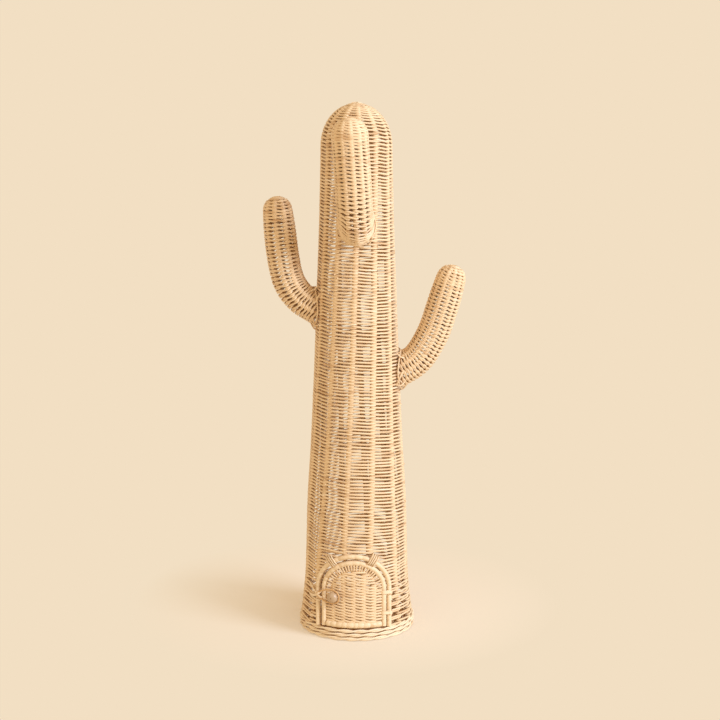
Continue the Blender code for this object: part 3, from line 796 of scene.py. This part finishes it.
def make_arm_weave(side_name, ribs, cage):
    offset = drifts(len(ribs), cage.end, 0.45 * MM, 7)
    strand = ARM_STRAND[side_name]
    wrap = ARM_RIB_RADIUS + strand
    weave = Strands()
    s = 0.5 * MM
    while s < cage.end and cage.radius(s) > 8.5 * MM:
        tip = np.clip((s - cage.tip + 0.014) / 0.008, 0, 1)
        pitch = (ARM_PITCH[side_name] - 0.9 * MM * tip) * (1 + rng.normal(0, 0.03))
        levels = offset(s) + rng.normal(0, 0.10 * MM, len(ribs))
        angle, out, across, up = turned_row(ribs, levels, wrap, 0.5 * pitch, ARM_SAG)
        path, along = cage.point(s + up, angle, out, across)
        kept = outside_run(path, along, ARM_ROW_MARGIN)
        if kept is not None:
            weave.sweep(*kept, strand * (1 + 0.14 * tip + rng.normal(0, 0.03)), sides=5)
        s += pitch
    while s < cage.end:
        path, along = cage.point(s, np.linspace(0, 2 * np.pi, 49), wrap - 0.3 * MM)
        weave.sweep(path, along, 1.0 * MM, sides=5)
        s += 2.0 * MM
    weave.object(f"{side_name}_arm_strands", "rattan_weave", ARM_WEAVE, "root", [f"{side_name}_arm_weave"])


def make_arm_rods(side_name, ribs, cage):
    """The ribs from the trunk to the tip, and a coil that closes the tip."""
    rods = Strands()
    for rib in ribs:
        path, _ = cage.point(np.linspace(0, cage.end, 60), rib, 0.0)
        path = path[int(np.argmax(beyond_trunk(path, 0.0) > 0)):]
        _, side = transported(path)
        rods.sweep(path, side, ARM_RIB_RADIUS)
    centre, tangent, side, up = cage.at(cage.end)[:4]
    turns = np.linspace(0, 2.2 * 2 * np.pi, 60)
    radius = (3.4 * MM * (1 - turns / turns[-1]) + 0.3 * MM)[:, None]
    top = centre + (ARM_RIB_RADIUS + ARM_STRAND[side_name] - 0.4 * MM) * tangent
    coil = top + radius * (np.cos(turns)[:, None] * side + np.sin(turns)[:, None] * up)
    rods.sweep(coil, tangent, 0.9 * MM)
    rods.object(f"{side_name}_arm_rods", "rattan_stake", RIBS, "root", [f"{side_name}_arm_ribs"])


def make_arms():
    for side_name, arm in ARMS.items():
        cage = arm_cage(arm)
        ribs = arm["phase"] + 2 * np.pi * np.arange(arm["ribs"]) / arm["ribs"]
        make_arm_weave(side_name, ribs, cage)
        make_arm_rods(side_name, ribs, cage)
        make_arm_lashing(side_name, cage)


def joint_places(cage):
    """Points round the joint between arm and trunk: in its corner, up the arm, and down the trunk."""
    s = np.linspace(0, cage.tip, 400)
    corner, on_arm, on_body = [], [], []
    for angle in 2 * np.pi * np.arange(JOINT_PLACES) / JOINT_PLACES:
        line, _ = cage.point(s, angle, ARM_RIB_INSET + CORNER_STAND_OFF)
        j = int(np.argmax(beyond_trunk(line, CORNER_STAND_OFF) > 0))
        corner.append(line[j])
        reach = min(len(s) - 1, j + int(6.5 * MM / (s[1] - s[0])))
        on_arm.append(cage.point(s[reach], angle, ARM_RIB_INSET - 1.0 * MM)[0])
        radial = np.array((line[j][0], line[j][1], 0))
        radial = radial / np.linalg.norm(radial)
        away = line[j] - cage.at(s[j])[0]
        away = away - radial * np.dot(away, radial)
        spot = line[j] + 3.6 * MM * away / np.linalg.norm(away)
        size = (float(trunk_radius(spot[2])) - 1.2 * MM) / math.hypot(spot[0], spot[1])
        on_body.append(np.array((spot[0] * size, spot[1] * size, spot[2])))
    return np.array(corner), on_arm, on_body


def make_arm_lashing(side_name, cage):
    """A strand in the corner between arm and trunk, and cane stitches that cross over it."""
    lashing = Strands()
    corner, on_arm, on_body = joint_places(cage)
    ring = smooth(np.vstack([corner, corner[:2]]), 2)[:2 * JOINT_PLACES + 1]
    middle = ring.mean(0)
    lashing.sweep(ring, unit(ring - middle), 0.85 * MM, sides=7)
    for place_from, step, high in JOINT_STITCHES:
        a, b = place_from % JOINT_PLACES, (place_from + step) % JOINT_PLACES
        over = (corner[a] + corner[b]) / 2
        lift = unit(over - middle)
        out = unit(np.array((over[0], over[1], 0.0)))
        over = over + high * MM * unit(lift + 0.8 * out)
        by_arm = 0.45 * on_arm[a] + 0.55 * over + 0.6 * MM * lift
        by_body = 0.5 * on_body[b] + 0.5 * over + 0.7 * MM * out
        path = smooth([on_arm[a], by_arm, over, by_body, on_body[b]], 3)
        lashing.sweep(path, unit(np.cross(np.gradient(path, axis=0), lift)), 1.05 * MM, 0.8 * MM)
    lashing.object(f"{side_name}_arm_stitches", "cane_wrap", ARM_WEAVE, "root", [f"{side_name}_arm_lashing"])


# ---------------- doorway and door


def leg_point(arch, side, z):
    """Centre of the arch's right (side 1) or left (side -1) upright at this height."""
    return on_trunk(arch["x"] + side * arch["half"], z, -arch["inset"])


def arch_route(arch, bottom_z):
    """Closely spaced points of a whole arch, from right to left."""
    heights = np.linspace(bottom_z, arch["spring_z"], 40)
    turn = np.radians(np.linspace(0, 180, 110))[1:-1]
    x = arch["x"] + arch["half"] * np.cos(turn)
    z = arch["spring_z"] + arch["half"] * np.sin(turn)
    arc = on_trunk(x, z, -arch["inset"])
    return np.vstack([leg_point(arch, 1, heights), arc, leg_point(arch, -1, heights[::-1])])


def resample(route, places):
    """Points at these distances along the route, and the route's whole length."""
    length = np.concatenate([[0], np.cumsum(np.linalg.norm(np.diff(route, axis=0), axis=1))])
    return np.stack([np.interp(places, length, column) for column in route.T], -1), length[-1]


def wrapped_rod(route, radius, widths, groove, lean):
    """Rod wound with flat cane: each turn slightly crowned, with a leaning seam between turns."""
    sides = 12
    total = resample(route, [0])[1]
    seams = [0.0]
    while seams[-1] < total:
        seams.append(seams[-1] + rng.uniform(*widths))
    places, depth = [], []
    for a, b in zip(seams, seams[1:]):
        edge = 0.28 * MM
        for past_seam, deep in ((0, 1.0), (edge, 0.25), ((b - a) * 0.5, -0.15), (b - a - edge, 0.25)):
            if a + past_seam < total:
                places.append(a + past_seam)
                depth.append(deep)
    places.append(total)
    depth.append(0.0)
    places, depth = np.array(places), np.array(depth)
    keep = np.concatenate([[True], np.diff(places) > 0.02 * MM])
    places, depth = places[keep], depth[keep]
    path, _ = resample(route, places)
    tangents, side = transported(path)
    up = np.cross(tangents, side)
    phi = 2 * np.pi * np.arange(sides) / sides
    size = (radius - groove * depth)[:, None]
    c, s = np.cos(phi)[None], np.sin(phi)[None]
    inner = np.ones(len(places))
    inner[0] = inner[-1] = 0
    shift = lean * np.cos(phi + 0.6)[None] * inner[:, None]
    ring = path[:, None] + (size * c)[..., None] * side[:, None] + (size * s)[..., None] * up[:, None]
    ring = ring + shift[..., None] * tangents[:, None]
    turn = np.searchsorted(seams, places, side="right") * 1.7
    here = np.stack([np.broadcast_to(phi * radius, ring.shape[:2]) + turn[:, None],
                     np.broadcast_to(places[:, None], ring.shape[:2]), 0 * size * c], -1)
    return ring, here


def make_frame():
    rod = Strands()
    route = arch_route(FRAME, FOOT_TOP_Z + 0.3 * MM)
    rod.add(*wrapped_rod(route, FRAME_ROD_RADIUS, (4.5 * MM, 12.0 * MM), 0.17 * MM, 0.8 * MM))
    rod.object("door_frame_wrapped", "cane_wrap", CANE, "root", ["door_frame"])


def make_arch_wraps():
    """Two bundles of cane, each strand once round the arch's rod and the weave behind it."""
    turns = np.linspace(0, 2 * np.pi, 25)
    depth = np.clip(4.5 * MM * np.sin(turns), -4.6 * MM, 3.6 * MM)
    for name, middle in ARCH_WRAPS.items():
        wraps = Strands()
        for i in range(ARCH_WRAP_STRANDS):
            place_in_bundle = i - (ARCH_WRAP_STRANDS - 1) / 2
            angle = math.radians(middle + place_in_bundle * 3.2)
            direction = np.array((math.cos(angle), math.sin(angle)))
            lean = -0.03 * place_in_bundle
            half_long = (6.0 + rng.uniform(-0.6, 0.6)) * MM
            reach = half_long * np.cos(turns) + 1.6 * MM
            x = FRAME["x"] + (FRAME["half"] + reach) * direction[0] - lean * reach * direction[1]
            z = FRAME["spring_z"] + (FRAME["half"] + reach) * direction[1] + lean * reach * direction[0]
            across = np.array((-direction[1], 0, direction[0]))
            wraps.sweep(on_trunk(x, z, depth - FRAME["inset"]), across, 0.84 * MM, 0.8 * MM)
        wraps.object(f"{name}_strands", "cane_wrap", CANE, "root", [name])


def make_latch_lashing():
    """Two turns round the frame's left upright, a cross of cane over them, and one strand below it."""
    lashing = Strands()
    turns = np.linspace(0, 2.2 * 2 * np.pi, 56)
    z = LATCH_Z - 2.3 * MM + 4.6 * MM * turns / turns[-1]
    centre = leg_point(FRAME, -1, z)
    reach = FRAME_ROD_RADIUS + 0.55 * MM
    path = centre + reach * np.stack([np.sin(turns), -np.cos(turns), 0 * turns], -1)
    lashing.sweep(path, UP, 0.9 * MM, 0.5 * MM)
    upright_x = FRAME["x"] - FRAME["half"]
    for sign, lift in ((1, 0.0), (-1, 0.9)):
        xs = np.array((-9.8, -6.6, -3.6, -0.8, 2.6, 5.4)) * MM + upright_x
        zs = LATCH_Z + sign * np.array((6.2, 4.4, 2.1, -0.6, -3.0, -4.4)) * MM
        offs = np.array((-1.6, 1.1, 3.2 + lift, 4.1 + lift, 3.1, -0.4)) * MM
        lashing.sweep(smooth(on_trunk(xs, zs, offs), 4), UP, 1.3 * MM, 0.65 * MM)
    xs = np.array((-9.0, -6.0, -2.0, 1.8, 3.4)) * MM + upright_x
    zs = LATCH_Z + np.array((-7.2, -7.0, -6.9, -6.8, -6.6)) * MM
    offs = np.array((-1.4, 1.0, 3.2, 2.2, -1.2)) * MM
    lashing.sweep(smooth(on_trunk(xs, zs, offs), 4), UP, 1.0 * MM, 0.6 * MM)
    lashing.object("latch_lashing_cross", "cane_wrap", CANE, "root", ["latch_lashing"])


def round_both_rods(radius, z):
    """Points of a stadium round the frame's and the rim's right uprights at this height."""
    frame_rod, rim_rod = leg_point(FRAME, 1, z), leg_point(RIM, 1, z)
    along = math.atan2(rim_rod[1] - frame_rod[1], rim_rod[0] - frame_rod[0])
    points = []
    for centre, start in ((frame_rod, along + math.pi / 2), (rim_rod, along - math.pi / 2)):
        for i in range(HALF_TURN_POINTS):
            angle = start + math.pi * i / (HALF_TURN_POINTS - 1)
            points.append(centre + radius * np.array((math.cos(angle), math.sin(angle), 0)))
    return np.array(points)


def make_hinges():
    """Three laps of cane round both uprights for each lashing."""
    lap = 2 * HALF_TURN_POINTS
    steps = 3 * lap
    for name, z in HINGE_LASHINGS.items():
        turns = Strands()
        path = []
        for i in range(steps + 1):
            height = z - 1.9 * MM + 3.8 * MM * i / steps
            path.append(round_both_rods(FRAME_ROD_RADIUS + 0.72 * MM, height)[i % lap])
        turns.sweep(np.array(path), UP, 0.98 * MM, 0.42 * MM, sides=8)
        turns.object(f"{name}_turns", "cane_wrap", CANE, "door", [name])


def on_panel(x, z, out, across):
    """Point on the door's panel: this far out from the stakes' centres, and aside along the panel."""
    base = on_trunk(x, z, -DOOR_STAKE_INSET)
    normal = unit(base * np.array((1.0, 1.0, 0.0)))
    around = np.stack([-normal[..., 1], normal[..., 0], 0 * normal[..., 0]], -1)
    return base + np.asarray(out)[..., None] * normal + np.asarray(across)[..., None] * around


def panel_row(z, half, pitch):
    """One strand across the panel that goes once round each stake it meets."""
    wrap = DOOR_STAKE_RADIUS + DOOR_STRAND
    xs, outs = [[-half, -half + 1.2 * MM]], [[0.9 * MM, wrap - 0.3 * MM]]
    across, ups = [[0, 0]], [[-pitch / 4] * 2]
    for stake in DOOR_STAKES:
        if abs(stake) > half - 2.6 * MM:
            continue
        level = rng.normal(0, 0.10 * MM)
        lead = stake - 4.6 * MM
        if lead > xs[-1][-1]:
            xs.append([lead])
            outs.append([wrap - 0.2 * MM])
            across.append([0])
            ups.append([level - pitch / 4])
        xs.append([stake] * len(WRAP))
        outs.append(wrap * np.cos(WRAP))
        across.append(wrap * np.sin(WRAP))
        ups.append(level + pitch * 0.5 * (WRAP / (2 * np.pi) - 0.5))
    xs.append([half - 1.2 * MM, half])
    outs.append([wrap - 0.3 * MM, 0.9 * MM])
    across.append([0, 0])
    ups.append([pitch / 4] * 2)
    xs, outs, across, ups = [np.concatenate(v) for v in (xs, outs, across, ups)]
    return on_panel(RIM["x"] + xs, z + ups, outs, across)


def make_panel():
    """Rows across the door, short spokes that fan out to the arch, and a strand behind the spokes' feet."""
    panel = Strands()
    z = DOOR_BOTTOM_Z + 2 * BAR_RADIUS + 1.5 * MM
    inner = 25.2 * MM
    while z < RIM["spring_z"] + inner - 2.0 * MM:
        rise = z - RIM["spring_z"]
        half = RIM["half"] - 1.6 * MM if rise < 0 else math.sqrt(inner**2 - rise**2)
        pitch = DOOR_PITCH * (1 + rng.normal(0, 0.03))
        panel.sweep(panel_row(z, half, pitch), UP, DOOR_STRAND * (1 + rng.normal(0, 0.03)))
        z += pitch
    reach = np.array((32.2, 30.4, 27.8, 25.0, 23.6)) * MM
    depth = np.array((1.2, 0.6, 1.3, 1.9, 4.2)) * MM
    for k in range(DOOR_SPOKES):
        angle = math.radians(2.5 + 175.0 * k / (DOOR_SPOKES - 1) + rng.normal(0, 0.35))
        path = on_trunk(RIM["x"] + reach * math.cos(angle), RIM["spring_z"] + reach * math.sin(angle), -depth)
        across = np.array((-math.sin(angle), 0, math.cos(angle)))
        panel.sweep(smooth(path, 3), across, 1.0 * MM, 0.85 * MM)
    turn = np.radians(np.linspace(0, 180, 50))
    reach = 24.3 * MM
    path = on_trunk(RIM["x"] + reach * np.cos(turn), RIM["spring_z"] + reach * np.sin(turn), -2.9 * MM)
    panel.sweep(path, transported(path)[1], 0.95 * MM)
    panel.object("door_weave_strands", "rattan_weave", WEAVE, "door", ["door_weave"])


def make_rim_and_bar():
    rim = Strands()
    route = arch_route(RIM, DOOR_BOTTOM_Z)
    rim.add(*wrapped_rod(route, RIM_ROD_RADIUS, (5.0 * MM, 12.0 * MM), 0.16 * MM, 0.6 * MM))
    rim.object("door_rim_wrapped", "cane_wrap", CANE, "door", ["door_rim"])
    bar = Strands()
    half = RIM["half"] - RIM_ROD_RADIUS - 0.3 * MM
    xs = np.linspace(-half, half, 60)
    route = on_trunk(RIM["x"] + xs, DOOR_BOTTOM_Z + BAR_RADIUS, -RIM["inset"])
    bar.add(*wrapped_rod(route, BAR_RADIUS + 0.35 * MM, (4.5 * MM, 8.5 * MM), 0.26 * MM, 0.35 * MM))
    bar.object("door_bottom_bar_wrapped", "cane_wrap", CANE, "door", ["door_bottom_bar"])


def make_bead():
    """Turned bead whose bore points out of the door and shows as a small pit."""
    foot = on_trunk(BEAD_FOOT_X, LATCH_Z, -PANEL_INSET)
    out = unit(np.array((foot[0], foot[1], 0.0)))
    up = np.array(UP)
    side = np.cross(up, out)
    centre = foot + out * BEAD_STAND_OFF
    turns = np.radians(np.linspace(-80, 80, 17))
    depth = BEAD_HALF_DEPTH * np.sin(turns) / math.sin(math.radians(80))
    size = BEAD_RADIUS * np.cos(turns) ** 0.8
    extra = np.array(((BEAD_HALF_DEPTH - 0.05 * MM, 0.8 * MM), (BEAD_HALF_DEPTH - 0.9 * MM, 0.6 * MM)))
    depth, size = np.append(depth, extra[:, 0]), np.append(size, extra[:, 1])
    phi = 2 * np.pi * np.arange(36) / 36
    ring = centre + depth[:, None, None] * out + size[:, None, None] * (
        np.cos(phi)[:, None] * side + np.sin(phi)[:, None] * up)[None]
    bead = Strands()
    bead.add(ring, ring * 0)
    bead.object("latch_bead", "bead_wood", BEAD_WOOD, "door", ["bead"])


def make_loop():
    a = math.radians(LOOP_PIVOT_DEG)
    pivot = leg_point(FRAME, -1, LATCH_Z) + LOOP_PIVOT_STAND_OFF * np.array((math.sin(a), -math.cos(a), 0))
    foot = on_trunk(BEAD_FOOT_X, LATCH_Z, -PANEL_INSET)
    neck = foot + unit(np.array((foot[0], foot[1], 0.0))) * LOOP_STAND_OFF
    along = unit(neck - pivot)
    turn = np.linspace(0, 2 * np.pi, 97)[:-1]
    reach = LOOP_LENGTH * (1 - np.cos(turn)) / 2
    height = LOOP_HALF_HEIGHT * np.sin(turn) * (1 - LOOP_EGG * np.cos(turn))
    path = pivot + reach[:, None] * along + height[:, None] * np.array(UP)
    normal = np.cross(along, UP)
    loop = Strands()
    loop.sweep(np.vstack([path, path[:1]]), normal, LOOP_STRAND_RADIUS, sides=8)
    loop.object("latch_loop_cane", "latch_cord", CORD, "loop", ["latch_loop"])


# ---------------- CAD's own nodes, stage, light and camera


def dress_cad_nodes():
    for name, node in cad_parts.items():
        if "stake" in name:
            node.data.materials.clear()
            node.data.materials.append(STAKE)
        elif name == "bead_tie":
            node.data.materials.clear()
            node.data.materials.append(TIE)


BACKDROP = (0.888, 0.738, 0.546)


def make_stage():
    mesh = bpy.data.meshes.new("floor")
    angle = np.linspace(0, 2 * np.pi, 65)[:-1]
    rim = [(12 * math.cos(a), 12 * math.sin(a), -0.0004) for a in angle]
    mesh.from_pydata(rim, [], [list(range(64))])
    mat, nodes, links, shader = graph("pale_floor")
    nodes.remove(shader)
    coords = nodes.new("ShaderNodeTexCoord")
    distance = nodes.new("ShaderNodeVectorMath")
    distance.operation = "DISTANCE"
    distance.inputs[1].default_value = (-0.015, 0.085, 0)
    links.new(coords.outputs["Object"], distance.inputs[0])
    spread = {"From Min": 0.06, "From Max": 0.26, "To Min": 0.12, "To Max": 1.0}
    fade = add_node(nodes, "ShaderNodeMapRange", spread)
    links.new(distance.outputs["Value"], fade.inputs["Value"])
    glow = add_node(nodes, "ShaderNodeEmission", {"Color": (*BACKDROP, 1)})
    diffuse = add_node(nodes, "ShaderNodeBsdfDiffuse", {"Color": (0.86, 0.74, 0.58, 1)})
    surface = nodes["Material Output"].inputs["Surface"]
    mix_shaders(nodes, links, fade.outputs[0], diffuse.outputs[0], glow.outputs[0], surface)
    mesh.materials.append(mat)
    floor = bpy.data.objects.new("floor", mesh)
    bpy.context.scene.collection.objects.link(floor)


def make_light():
    world = bpy.data.worlds.new("studio")
    bpy.context.scene.world = world
    world.use_nodes = True
    nodes, links = world.node_tree.nodes, world.node_tree.links
    ambient = nodes["Background"]
    ambient.inputs["Color"].default_value = (1.0, 0.81, 0.58, 1)
    ambient.inputs["Strength"].default_value = 0.79
    seen = add_node(nodes, "ShaderNodeBackground", {"Color": (*BACKDROP, 1)})
    rays = nodes.new("ShaderNodeLightPath")
    surface = nodes["World Output"].inputs["Surface"]
    mix_shaders(nodes, links, rays.outputs["Is Camera Ray"], ambient.outputs[0], seen.outputs[0], surface)
    for name, place_at, size, power, colour in (
        ("key", (1.50, -1.02, 1.02), 0.8, 34.5, (0.94, 1.13, 1.52)),
        ("fill", (-1.2, -1.5, 0.8), 1.4, 6.0, (1.0, 0.93, 0.84)),
    ):
        light = bpy.data.lights.new(name, "AREA")
        light.size = size
        light.energy = power
        light.color = colour
        lamp = bpy.data.objects.new(name, light)
        lamp.location = place_at
        aim = np.array((0, 0, 0.32)) - np.array(place_at)
        lamp.rotation_euler = (
            math.atan2(math.hypot(aim[0], aim[1]), -aim[2]), 0, math.atan2(aim[1], aim[0]) - math.pi / 2)
        bpy.context.scene.collection.objects.link(lamp)


def make_camera():
    data = bpy.data.cameras.new("camera")
    data.lens = 73.1
    data.sensor_width = 36.0
    camera = bpy.data.objects.new("camera", data)
    camera.location = (0, -1.64, 0.60)
    camera.rotation_euler = (math.radians(90 - 9.97), 0, math.radians(-0.137))
    bpy.context.scene.collection.objects.link(camera)
    bpy.context.scene.camera = camera


make_camera()
make_trunk()
make_crown()
make_borders()
make_floor()
make_floor_rods()
make_arms()
make_frame()
make_arch_wraps()
make_latch_lashing()
make_hinges()
make_panel()
make_rim_and_bar()
make_bead()
make_loop()
dress_cad_nodes()
make_stage()
make_light()
bpy.context.scene.view_settings.view_transform = "Standard"
